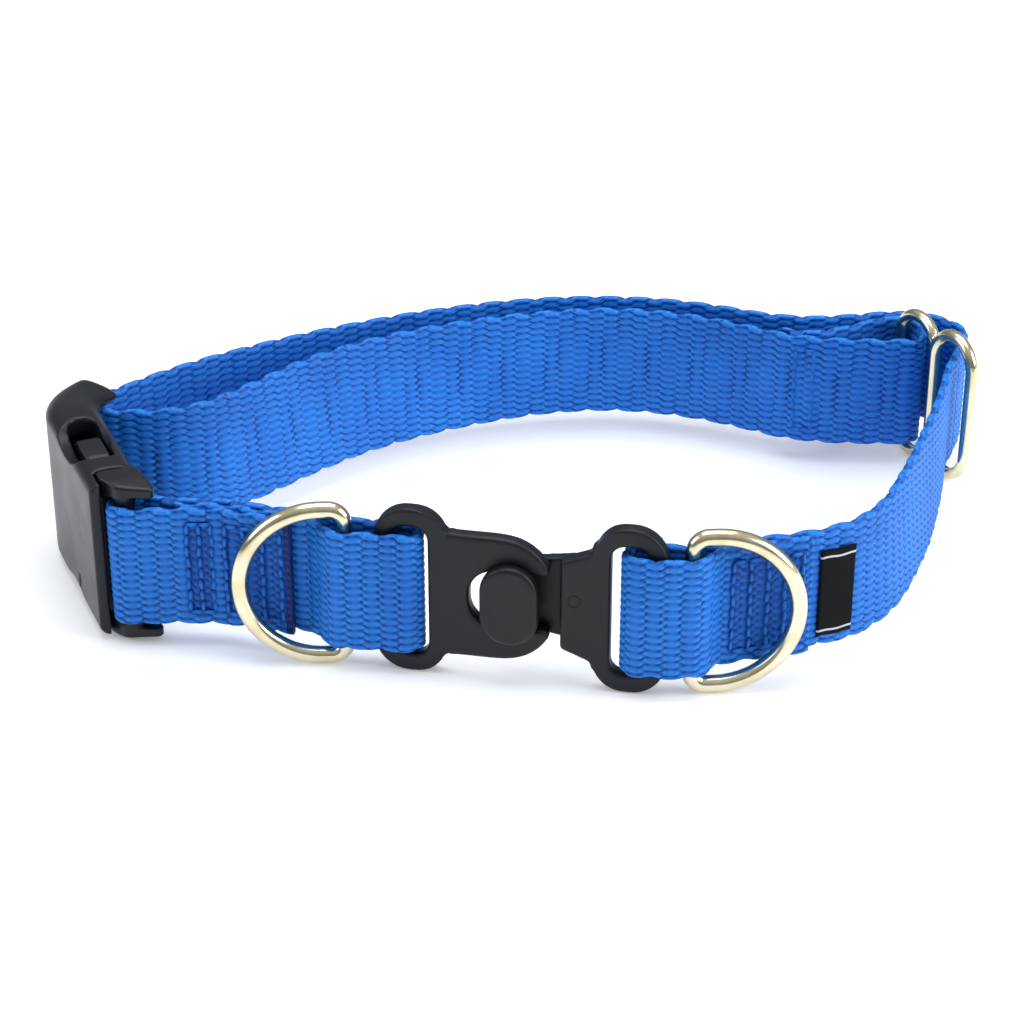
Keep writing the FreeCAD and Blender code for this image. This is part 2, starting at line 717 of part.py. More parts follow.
# Chamber for the webbing behind the end wall, open inwards and at the back.
rh = r_out - num("hood_wall")
f0 = math.radians(9.0)
f1 = math.radians(num("srb_sweep") + 14.0)
sk = new_sketch(b, "chamber_outline", "XY_Plane", "-1 * (Params.web_width / 2 + 0.7)")
q0 = (cc[0] + rh * math.sin(f0), cc[1] + rh * math.cos(f0))
q1 = (cc[0] + rh * math.sin(f1), cc[1] + rh * math.cos(f1))
q2 = (cc[0] + 8.0 * math.sin(f1), cc[1] + 8.0 * math.cos(f1))
q3 = (cc[0] + 8.0 * math.sin(f0), cc[1] + 8.0 * math.cos(f0))
draw(sk, [
    ("arc", cc, rh, math.pi / 2 - f0, -(f1 - f0)),
    ("line", q1, q2), ("line", q2, q3), ("line", q3, q0),
])
pocket(b, sk, "chamber_pocket", "Params.web_width + 1.4", True)
fb = srb_arc(num("end_bar_r"), num("end_bar_phi"))
bar(b, "end_bar", fb[0], fb[1], "end_bar_rad", "-1 * Params.web_width / 2 - 1.5",
    "Params.web_width + 3")
srb_place(b)

# Male base: shoulders, front plate, web bar and the middle guide tongue.
b = new_body("buckle_male_base")
sk = new_sketch(b, "base_plate_outline", "XY_Plane", "-1 * Params.srb_half")
draw(sk, poly([(-10.9, -6.6, 1.2), (-0.3, -5.4, 0.4), (0.0, 2.9, 0.4), (-3.0, 2.9, 0.8), (-7.6, 0.9, 3.0)]))
pad(b, sk, "shoulder_pad", "2 * Params.srb_half")
sh_top = num("srb_half")
round_edges(b, "shoulder_soft",
            lambda e: abs(abs(e.BoundBox.ZMin) - sh_top) < 0.01 and e.BoundBox.ZLength < 0.01, "0.8")
sk = new_sketch(b, "web_gap_outline", "XY_Plane", "-1 * (Params.web_width / 2 + 0.6)")
draw(sk, poly([(-14.0, -9.0, 0), (-2.0, -9.0, 0), (-2.0, 5.0, 0), (-14.0, 5.0, 0)]))
pocket(b, sk, "web_gap_pocket", "Params.web_width + 1.2", True)
bar(b, "web_bar", num("male_bar_p"), num("male_bar_q"), "male_bar_rad",
    "-1 * Params.web_width / 2 - 1.5", "Params.web_width + 3")
sk = new_sketch(b, "tongue_side", "XY_Plane", "-3")
draw(sk, poly([(-1.0, -2.3, 0), (20.0, -2.3, 2.0), (20.0, 2.3, 2.0), (-1.0, 2.3, 0)]))
pad(b, sk, "guide_tongue", "6")
# Root ears of the prongs: each holds a round knuckle seat.
for s, nm in ((1, "upper"), (-1, "lower")):
    sk = new_sketch(b, "seat_" + nm, "XZ_Plane", "-2.4")
    pz, pr, pg = num("pivot_z"), num("pivot_rad"), num("pivot_gap")
    pp = num("pivot_p")
    w, r = math.radians(52.0), pr + pg
    # A cup round the back of the knuckle, open towards the prong.
    pts = [
        ("arc", (pp, s * pz), r, s * w, s * (2 * math.pi - 2 * w)),
    ]
    e0 = (pp + r * math.cos(-s * w), s * pz + r * math.sin(-s * w))
    e1 = (pp + r * math.cos(s * w), s * pz + r * math.sin(s * w))
    o0 = (e0[0], s * (pz - 3.0))
    o1 = (e1[0], s * (pz + 3.0))
    pts = [("arc", (pp, s * pz), r, s * w, s * (2 * math.pi - 2 * w)),
           ("line", e0, o0), ("line", o0, (-1.0, s * (pz - 3.0))),
           ("line", (-1.0, s * (pz - 3.0)), (-1.0, s * (pz + 3.0))),
           ("line", (-1.0, s * (pz + 3.0)), o1), ("line", o1, e1)]
    draw(sk, pts)
    pad(b, sk, "seat_pad_" + nm, "4.8")
srb_place(b)

# Prongs: a knuckle, a thin arm and the button that fills the window.
for s, nm in ((1, "prong_upper"), (-1, "prong_lower")):
    b = new_body(nm)
    sk = new_sketch(b, nm + "_side", "XZ_Plane", "-2.4")
    pz, pr, pp = num("pivot_z"), num("pivot_rad"), num("pivot_p")
    hw = 1.05
    a = math.asin(hw / pr)
    st = (pp + pr * math.cos(a), hw)
    out = [
        (st[0], pz + hw, 0), (7.0, pz + hw, 1.0), (7.0, 15.0, 0.5), (9.0, 16.4, 1.5), (17.0, 16.4, 3.0),
        (22.6, 12.6, 1.5), (22.6, 8.4, 1.2), (8.0, 8.4, 2.0), (6.4, pz - hw, 1.2), (st[0], pz - hw, 0)]
    out = [(x, s * z, r) for x, z, r in out]
    ring = poly(out)
    # the last run of the outline, across the root, becomes the knuckle
    ring = [g for g in ring if not (g[0] == "line" and abs(g[1][0] - st[0]) < 1e-6 and abs(g[2][0] - st[0]) < 1e-6)]
    ring.append(("arc", (pp, s * pz), pr, -s * a, -s * (2 * math.pi - 2 * a)))
    draw(sk, ring)
    pad(b, sk, nm + "_pad", "4.8")
    srb_place(b)


# ------------------------------------------------------------------ stitches
def stitch_group(label, runs):
    """Short raised threads on a ply's outer face.
    runs: (line start, line end, side, list of (distance along, z, along?, length))"""
    solids = []
    for p0, p1, lift, marks in runs:
        t = unit((p1[0] - p0[0], p1[1] - p0[1]))
        n = (t[1], -t[0])
        for d, z, flat, ln in marks:
            cx = p0[0] + t[0] * d + n[0] * lift
            cy = p0[1] + t[1] * d + n[1] * lift
            if flat:
                box = Part.makeBox(ln, 0.35, 0.6, V(-ln / 2, -0.175, -0.3))
            else:
                box = Part.makeBox(0.6, 0.35, ln, V(-0.3, -0.175, -ln / 2))
            box.Placement = FreeCAD.Placement(
                V(cx + num("frame_dx"), cy + num("frame_dy"), num("mid_height") + z),
                FreeCAD.Rotation(V(0, 0, 1), math.degrees(math.atan2(t[1], t[0]))))
            solids.append(box)
    f = doc.addObject("Part::Feature", label)
    f.Label = label
    f.Shape = Part.makeCompound(solids)
    NODES.append(f)
    return f


def box_marks(d0, d1, half):
    """Stitches of a sewn box: two rows along the strap and two across it."""
    marks = []
    pitch = 2.9
    n = int((d1 - d0) / pitch)
    for i in range(n):
        d = d0 + (d1 - d0) * (i + 0.5) / n
        marks.append((d, half, True, 2.1))
        marks.append((d, -half, True, 2.1))
    m = int(2 * half / pitch)
    for i in range(m):
        z = -half + 2 * half * (i + 0.5) / m
        marks.append((d0 - 0.5, z, False, 2.1))
        marks.append((d1 + 0.5, z, False, 2.1))
    return marks


LIFT = HT + 0.24
seg_a = (out_left[0], out_left[1])
la = math.hypot(seg_a[1][0] - seg_a[0][0], seg_a[1][1] - seg_a[0][1])
stitch_group("left_stitches_buckle_end", [(seg_a[0], seg_a[1], LIFT, box_marks(2.6, la - 1.4, 9.5))])
seg_b = (out_left[1], A_end)
lb = math.hypot(seg_b[1][0] - seg_b[0][0], seg_b[1][1] - seg_b[0][1])
stitch_group("left_stitches_ring_end", [(seg_b[0], seg_b[1], LIFT, box_marks(2.0, lb - 2.2, 9.5))])
seg_r = ((39.6, top_right[0][1] + (top_right[1][1] - top_right[0][1]) * (39.6 - top_right[0][0]) / (top_right[1][0] - top_right[0][0])), R_end)
lr = math.hypot(seg_r[1][0] - seg_r[0][0], seg_r[1][1] - seg_r[0][1])
stitch_group("right_stitches", [(seg_r[0], seg_r[1], LIFT, box_marks(2.2, lr - 2.6, 9.5))])
seg_s = ((68.5, 41.02), (63.2, 42.42))
ls = math.hypot(seg_s[1][0] - seg_s[0][0], seg_s[1][1] - seg_s[0][1])
stitch_group("slider_stitches", [(seg_s[1], seg_s[0], LIFT, box_marks(0.8, ls - 0.8, 9.5))])

# ------------------------------------------------------------- check and write
doc.recompute()
bad = []
for o in doc.Objects:
    state = [str(x) for x in o.State]
    if "Invalid" in state or "Error" in state:
        bad.append("%s %s" % (o.Name, state))
for o in NODES:
    shp = o.Shape
    if shp.isNull() or not shp.isValid() or not shp.Solids:
        bad.append("shape " + o.Label)
if bad:
    raise RuntimeError("; ".join(bad))

os.makedirs("parts", exist_ok=True)
for o in NODES:
    name = o.Label
    o.Shape.exportStep("parts/" + name + ".step")
    bb = o.Shape.BoundBox
    print("%-26s solids %3d vol %9.1f  x %7.2f %7.2f  y %7.2f %7.2f  z %6.2f %6.2f" % (
        name, len(o.Shape.Solids), o.Shape.Volume, bb.XMin, bb.XMax, bb.YMin, bb.YMax, bb.ZMin, bb.ZMax))
bb = Part.makeCompound([o.Shape for o in NODES]).BoundBox
print("all x %.2f %.2f y %.2f %.2f z %.2f %.2f" % (bb.XMin, bb.XMax, bb.YMin, bb.YMax, bb.ZMin, bb.ZMax))
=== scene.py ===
import math

import bmesh
import bpy
import numpy as np
from mathutils import Matrix, Vector


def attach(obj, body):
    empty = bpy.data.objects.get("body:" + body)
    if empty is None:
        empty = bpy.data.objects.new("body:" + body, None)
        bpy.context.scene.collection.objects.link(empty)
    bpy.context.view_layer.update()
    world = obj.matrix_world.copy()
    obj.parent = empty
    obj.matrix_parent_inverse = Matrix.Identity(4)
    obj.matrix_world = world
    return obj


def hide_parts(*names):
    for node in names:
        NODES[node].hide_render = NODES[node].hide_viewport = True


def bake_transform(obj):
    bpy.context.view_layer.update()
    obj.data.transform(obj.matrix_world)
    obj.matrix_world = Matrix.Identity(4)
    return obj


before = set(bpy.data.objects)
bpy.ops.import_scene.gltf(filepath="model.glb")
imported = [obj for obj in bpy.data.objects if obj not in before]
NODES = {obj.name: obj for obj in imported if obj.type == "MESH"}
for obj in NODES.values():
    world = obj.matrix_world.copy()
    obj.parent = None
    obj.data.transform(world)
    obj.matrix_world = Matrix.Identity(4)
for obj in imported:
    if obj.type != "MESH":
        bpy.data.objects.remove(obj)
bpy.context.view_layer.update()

MM = 0.001
DX, DY, MID = -2.7, -1.37, 18.0
scene = bpy.context.scene

# ------------------------------------------------------------------ camera
cam = bpy.data.objects.new("camera", bpy.data.cameras.new("camera"))
scene.collection.objects.link(cam)
cam.data.sensor_width = 36.0
cam.data.lens = 36.0 * 2552.2 / 1024.0
cam.data.clip_start, cam.data.clip_end = 0.01, 10.0
cam.location = ((0.0 + DX) * MM, (-480.0 + DY) * MM, 263.85 * MM)
cam.rotation_euler = (math.radians(90.0 - 28.0), 0.0, 0.0)
scene.camera = cam

# ------------------------------------------------------------- plan routes
LEFT = [
    (-43.089, -44.827, 0.00),
    (-57.665, -40.480, 9.00),
    (-67.137, -40.218, 14.00),
    (-72.819, -40.669, 6.00),
    (-78.819, -40.669, 2.75),
    (-78.819, -34.669, 2.75),
    (-72.819, -34.669, 5.00),
    (-66.000, -36.100, 12.00),
    (-57.000, -36.400, 9.00),
    (-29.500, -44.600, 10.00),
    (-23.416, -44.955, 6.00),
    (-17.239, -46.191, 2.90),
    (-18.455, -52.270, 2.90),
    (-26.593, -50.643, 6.00),
    (-34.500, -50.300, 3.20),
    (-38.967, -43.918, 3.00),
    (-57.332, -38.440, 9.00),
    (-66.068, -38.149, 0.00),
]
BACK = [
    (60.800, 46.400, 0.00),
    (67.500, 44.200, 0.00),
    (76.000, 47.500, 0.00),
    (82.500, 51.600, 8.00),
    (89.600, 53.400, 2.60),
    (92.200, 48.200, 4.00),
    (91.900, 39.800, 3.40),
    (80.000, 39.900, 0.00),
    (70.000, 40.600, 0.00),
    (61.500, 42.900, 0.00),
    (52.500, 48.200, 0.00),
    (43.000, 53.000, 0.00),
    (31.500, 56.600, 0.00),
    (19.500, 57.600, 0.00),
    (6.000, 55.400, 0.00),
    (-7.500, 51.000, 0.00),
    (-21.000, 45.000, 0.00),
    (-33.000, 37.700, 0.00),
    (-44.000, 28.400, 0.00),
    (-54.000, 17.000, 0.00),
    (-63.000, 7.600, 0.00),
    (-72.000, 3.600, 0.00),
    (-80.814, 3.743, 0.00),
    (-95.298, 5.779, 2.95),
    (-83.328, 15.823, 0.00),
    (-77.000, 22.400, 0.00),
    (-67.500, 30.200, 0.00),
    (-57.000, 37.300, 0.00),
    (-46.500, 43.600, 0.00),
    (-35.000, 49.600, 0.00),
    (-21.500, 55.700, 0.00),
    (-7.000, 60.600, 0.00),
    (7.000, 63.700, 0.00),
    (21.000, 64.600, 0.00),
    (35.000, 63.200, 0.00),
    (47.500, 59.300, 0.00),
    (58.500, 54.300, 0.00),
    (68.000, 52.600, 0.00),
    (78.500, 54.000, 0.00),
    (88.000, 56.200, 0.00),
    (97.000, 53.800, 0.00),
    (102.200, 46.500, 0.00),
    (100.200, 39.000, 0.00),
    (98.022, 33.456, 0.00),
]
FRONT = [
    (98.000, 33.400, 0.00),
    (95.500, 26.900, 0.00),
    (92.600, 14.000, 0.00),
    (88.600, 0.000, 0.00),
    (84.200, -13.500, 0.00),
    (79.200, -26.500, 0.00),
    (74.500, -36.800, 0.00),
    (67.000, -45.400, 0.00),
    (58.500, -49.200, 16.00),
    (36.600, -54.900, 10.00),
    (27.574, -55.153, 8.00),
    (22.279, -54.094, 2.90),
    (21.063, -60.174, 2.90),
    (28.319, -61.625, 8.00),
    (35.900, -61.400, 3.00),
    (39.200, -56.350, 2.60),
    (57.637, -51.543, 0.00),
]
OUT_LEFT = [(-66.137, -40.198), (-57.665, -40.48), (-30.672, -48.529)]
A_END = (-43.089, -44.827)
TOP_RIGHT = [(37.116, -56.884), (59.181, -51.141), (67.837, -47.271)]
R_END = (57.637, -51.543)


def unit(a):
    n = math.hypot(a[0], a[1])
    return (a[0] / n, a[1] / n)


def route(pts):
    segs = []
    here = pts[0][:2]
    for i in range(1, len(pts) - 1):
        p0, p1, p2 = pts[i - 1], pts[i], pts[i + 1]
        a = unit((p1[0] - p0[0], p1[1] - p0[1]))
        b = unit((p2[0] - p1[0], p2[1] - p1[1]))
        turn = math.atan2(a[0] * b[1] - a[1] * b[0], a[0] * b[0] + a[1] * b[1])
        if abs(turn) < 1e-3:
            continue
        l1 = math.hypot(p1[0] - p0[0], p1[1] - p0[1])
        l2 = math.hypot(p2[0] - p1[0], p2[1] - p1[1])
        r = p1[2] or 0.47 * min(l1, l2) / math.tan(abs(turn) / 2)
        cut = r * math.tan(abs(turn) / 2)
        s = (p1[0] - a[0] * cut, p1[1] - a[1] * cut)
        side = 1.0 if turn > 0 else -1.0
        c = (s[0] - a[1] * r * side, s[1] + a[0] * r * side)
        if math.hypot(s[0] - here[0], s[1] - here[1]) > 1e-5:
            segs.append(("line", here, s))
        segs.append(("arc", c, r, math.atan2(s[1] - c[1], s[0] - c[0]), turn))
        here = (p1[0] + b[0] * cut, p1[1] + b[1] * cut)
    segs.append(("line", here, pts[-1][:2]))
    return segs


def walk(pts, step):
    """Even samples of a route: positions, unit left normals and distances, in mm."""
    segs = route(pts)
    ls = [math.dist(s[1], s[2]) if s[0] == "line" else abs(s[4]) * s[2] for s in segs]
    total = sum(ls)
    n = int(round(total / step))
    pos, nor = [], []
    k, done = 0, 0.0
    for i in range(n + 1):
        d = min(total * i / n, total - 1e-9)
        while k < len(segs) - 1 and d > done + ls[k]:
            done += ls[k]
            k += 1
        s, u = segs[k], d - done
        if s[0] == "line":
            t = unit((s[2][0] - s[1][0], s[2][1] - s[1][1]))
            pos.append((s[1][0] + t[0] * u, s[1][1] + t[1] * u))
            nor.append((-t[1], t[0]))
        else:
            sg = 1.0 if s[4] > 0 else -1.0
            a = s[3] + sg * u / s[2]
            pos.append((s[1][0] + s[2] * math.cos(a), s[1][1] + s[2] * math.sin(a)))
            nor.append((-math.cos(a) * sg, -math.sin(a) * sg))
    return np.array(pos), np.array(nor), np.linspace(0, total, n + 1)


# --------------------------------------------------------------- materials
def srgb(r, g, b):
    def f(c):
        c /= 255.0
        return c / 12.92 if c <= 0.04045 else ((c + 0.055) / 1.055) ** 2.4
    return (f(r), f(g), f(b), 1.0)


class Mat:
    def __init__(self, name):
        self.m = bpy.data.materials.new(name)
        self.m.use_nodes = True
        self.t = self.m.node_tree
        self.b = self.t.nodes["Principled BSDF"]

    def n(self, kind, **kw):
        node = self.t.nodes.new(kind)
        for k, v in kw.items():
            if hasattr(node, k):
                setattr(node, k, v)
            else:
                node.inputs[k.replace("_", " ")].default_value = v
        return node

    def l(self, a, b):
        self.t.links.new(a, b)

    def ramp(self, src, stops):
        r = self.n("ShaderNodeValToRGB")
        while len(r.color_ramp.elements) < len(stops):
            r.color_ramp.elements.new(0.5)
        for e, (p, c) in zip(r.color_ramp.elements, stops):
            e.position, e.color = p, c
        self.l(src, r.inputs["Fac"])
        return r.outputs["Color"]

    def math(self, op, a, b):
        m = self.n("ShaderNodeMath", operation=op)
        for i, v in enumerate((a, b)):
            if isinstance(v, (int, float)):
                m.inputs[i].default_value = v
            else:
                self.l(v, m.inputs[i])
        return m.outputs[0]

    def bump(self, src, strength, dist, under=None):
        bm = self.n("ShaderNodeBump")
        bm.inputs["Strength"].default_value = strength
        bm.inputs["Distance"].default_value = dist
        self.l(src, bm.inputs["Height"])
        if under is not None:
            self.l(under, bm.inputs["Normal"])
        return bm.outputs["Normal"]


def nylon(name, dark, mid, light):
    """Woven nylon: bead shading and yarn fibres drive colour, the fibres also roughness and bump; the bead shading is
    painted shade in the crevices and painted highlights towards the bead ends.
    """
    m = Mat(name)
    at = m.n("ShaderNodeAttribute", attribute_name="yarn")
    sep = m.n("ShaderNodeSeparateXYZ")
    m.l(at.outputs["Vector"], sep.inputs[0])
    s, w, h = sep.outputs[0], sep.outputs[1], sep.outputs[2]
    comb = m.n("ShaderNodeCombineXYZ")
    m.l(m.math("MULTIPLY", s, 0.55), comb.inputs[0])
    m.l(m.math("MULTIPLY", w, 7.0), comb.inputs[1])
    fib = m.n("ShaderNodeTexNoise")
    fib.inputs["Scale"].default_value = 1.6
    fib.inputs["Detail"].default_value = 4.0
    m.l(comb.outputs[0], fib.inputs["Vector"])
    tc = m.n("ShaderNodeTexCoord")
    big = m.n("ShaderNodeTexNoise")
    big.inputs["Scale"].default_value = 60.0
    big.inputs["Detail"].default_value = 3.0
    m.l(tc.outputs["Object"], big.inputs["Vector"])
    # colour: bead value (painted shade in the crevices, painted highlights at the bead ends), fibres and a large random
    # variation
    v = m.math("ADD", m.math("MULTIPLY", h, 0.78), m.math("MULTIPLY", fib.outputs["Fac"], 0.26))
    v = m.math("ADD", v, m.math("MULTIPLY", m.math("SUBTRACT", big.outputs["Fac"], 0.5), 0.22))
    m.l(m.ramp(v, [(0.12, dark), (0.50, mid), (0.98, light)]), m.b.inputs["Base Color"])
    r = m.math("ADD", 0.40, m.math("MULTIPLY", fib.outputs["Fac"], 0.28))
    m.l(r, m.b.inputs["Roughness"])
    m.l(m.bump(fib.outputs["Fac"], 0.35, 0.00018), m.b.inputs["Normal"])
    m.b.inputs["Sheen Weight"].default_value = 0.03
    m.b.inputs["Sheen Roughness"].default_value = 0.45
    m.b.inputs["Sheen Tint"].default_value = srgb(150, 205, 255)
    m.b.inputs["Specular IOR Level"].default_value = 0.30
    return m.m


def plastic(name, base, rough, grain):
    m = Mat(name)
    tc = m.n("ShaderNodeTexCoord")
    fine = m.n("ShaderNodeTexNoise")
    fine.inputs["Scale"].default_value = grain
    fine.inputs["Detail"].default_value = 3.0
    m.l(tc.outputs["Object"], fine.inputs["Vector"])
    big = m.n("ShaderNodeTexNoise")
    big.inputs["Scale"].default_value = 90.0
    big.inputs["Detail"].default_value = 5.0
    m.l(tc.outputs["Object"], big.inputs["Vector"])
    geo = m.n("ShaderNodeNewGeometry")
    # painted highlight: convex edges, found by pointiness, are lightened towards 2.6 times the base colour
    edge = m.ramp(geo.outputs["Pointiness"], [(0.50, (0, 0, 0, 1)), (0.58, (1, 1, 1, 1))])
    edge_highlight_mix = m.n("ShaderNodeMix", data_type="RGBA")
    m.l(m.math("MULTIPLY", edge, 0.35), edge_highlight_mix.inputs["Factor"])
    m.l(m.ramp(big.outputs["Fac"], [(0.25, tuple(c * 0.82 for c in base[:3]) + (1,)), (0.75, base)]), edge_highlight_mix.inputs["A"])
    edge_highlight_mix.inputs["B"].default_value = tuple(min(1, c * 2.6) for c in base[:3]) + (1,)
    m.l(edge_highlight_mix.outputs["Result"], m.b.inputs["Base Color"])
    r = m.math("ADD", rough, m.math("MULTIPLY", m.math("SUBTRACT", big.outputs["Fac"], 0.5), 0.22))
    m.l(r, m.b.inputs["Roughness"])
    m.l(m.bump(fine.outputs["Fac"], 0.22, 0.00008), m.b.inputs["Normal"])
    m.b.inputs["Specular IOR Level"].default_value = 0.34
    return m.m


def gold(name):
    m = Mat(name)
    tc = m.n("ShaderNodeTexCoord")
    big = m.n("ShaderNodeTexNoise")
    big.inputs["Scale"].default_value = 140.0
    big.inputs["Detail"].default_value = 4.0
    m.l(tc.outputs["Object"], big.inputs["Vector"])
    m.l(m.ramp(big.outputs["Fac"], [(0.3, srgb(208, 194, 152)), (0.7, srgb(236, 227, 198))]), m.b.inputs["Base Color"])
    m.b.inputs["Metallic"].default_value = 1.0
    m.l(m.math("ADD", 0.13, m.math("MULTIPLY", big.outputs["Fac"], 0.12)), m.b.inputs["Roughness"])
    fine = m.n("ShaderNodeTexNoise")
    fine.inputs["Scale"].default_value = 1500.0
    m.l(tc.outputs["Object"], fine.inputs["Vector"])
    m.l(m.bump(fine.outputs["Fac"], 0.06, 0.00003), m.b.inputs["Normal"])
    return m.m


BLUE = nylon("blue_nylon_webbing", srgb(0, 38, 104), srgb(0, 92, 190), srgb(48, 158, 246))
THREAD = nylon("blue_nylon_thread", srgb(0, 32, 92), srgb(0, 76, 166), srgb(24, 118, 214))
# darker heat-sealed cut ends: partly the melted end's own colour, partly painted shade of the gap at the end
CUT_END_AND_SHADE = nylon("heat_cut_nylon_end_and_shade", srgb(0, 18, 60), srgb(0, 36, 104), srgb(4, 62, 150))
BLACK = plastic("black_moulded_nylon", srgb(12, 15, 21), 0.46, 2600.0)
BUCKLE = plastic("black_buckle_plastic", srgb(13, 17, 24), 0.36, 3400.0)
GOLD = gold("pale_gold_plate")


def new_mesh(name, verts, faces, mat, smooth=True):
    me = bpy.data.meshes.new(name)
    me.from_pydata([tuple(v) for v in verts], [], [tuple(f) for f in faces])
    me.update()
    if smooth:
        me.polygons.foreach_set("use_smooth", [True] * len(me.polygons))
    o = bpy.data.objects.new(name, me)
    scene.collection.objects.link(o)
    if mat:
        me.materials.append(mat)
    return o


# --------------------------------------------------------------- webbing
WW, HT = 25.4, 0.95
PC, PR = 3.45, WW / 16.0


def bead(s, w):
    """Height, 0..1, of the woven face at distance s along and w across, mm, with a colour value that is painted shade
    in the crevices and a painted highlight towards each bead's ends.
    """
    shape = np.broadcast(s, w).shape
    best, shade_and_highlight = np.zeros(shape), np.zeros(shape)
    k0 = np.round(s / PC)
    for dk in (-1, 0, 1):
        k = k0 + dk
        odd = np.mod(k, 2.0)
        j = np.round(w / PR - 0.5 * odd)
        ds = np.abs(s - k * PC) / 2.08
        dw = np.abs(w - (j + 0.5 * odd) * PR) / (0.85 * (1.0 - 0.56 * np.clip(ds, 0, 1) ** 1.7) + 0.02)
        h = np.sqrt(np.clip(1.0 - np.clip(ds, 0, 9) ** 2.8 - np.clip(dw, 0, 9) ** 2.6, 0, 1))
        # painted highlight: lighter towards each bead's ends; painted shade: darkens with the height into the crevices
        t = h * (0.60 + 0.40 * np.clip((ds - 0.36) / 0.34, 0, 1)) + 0.06 * h
        up = h > best
        best, shade_and_highlight = np.where(up, h, best), np.where(up, t, shade_and_highlight)
    return best, shade_and_highlight


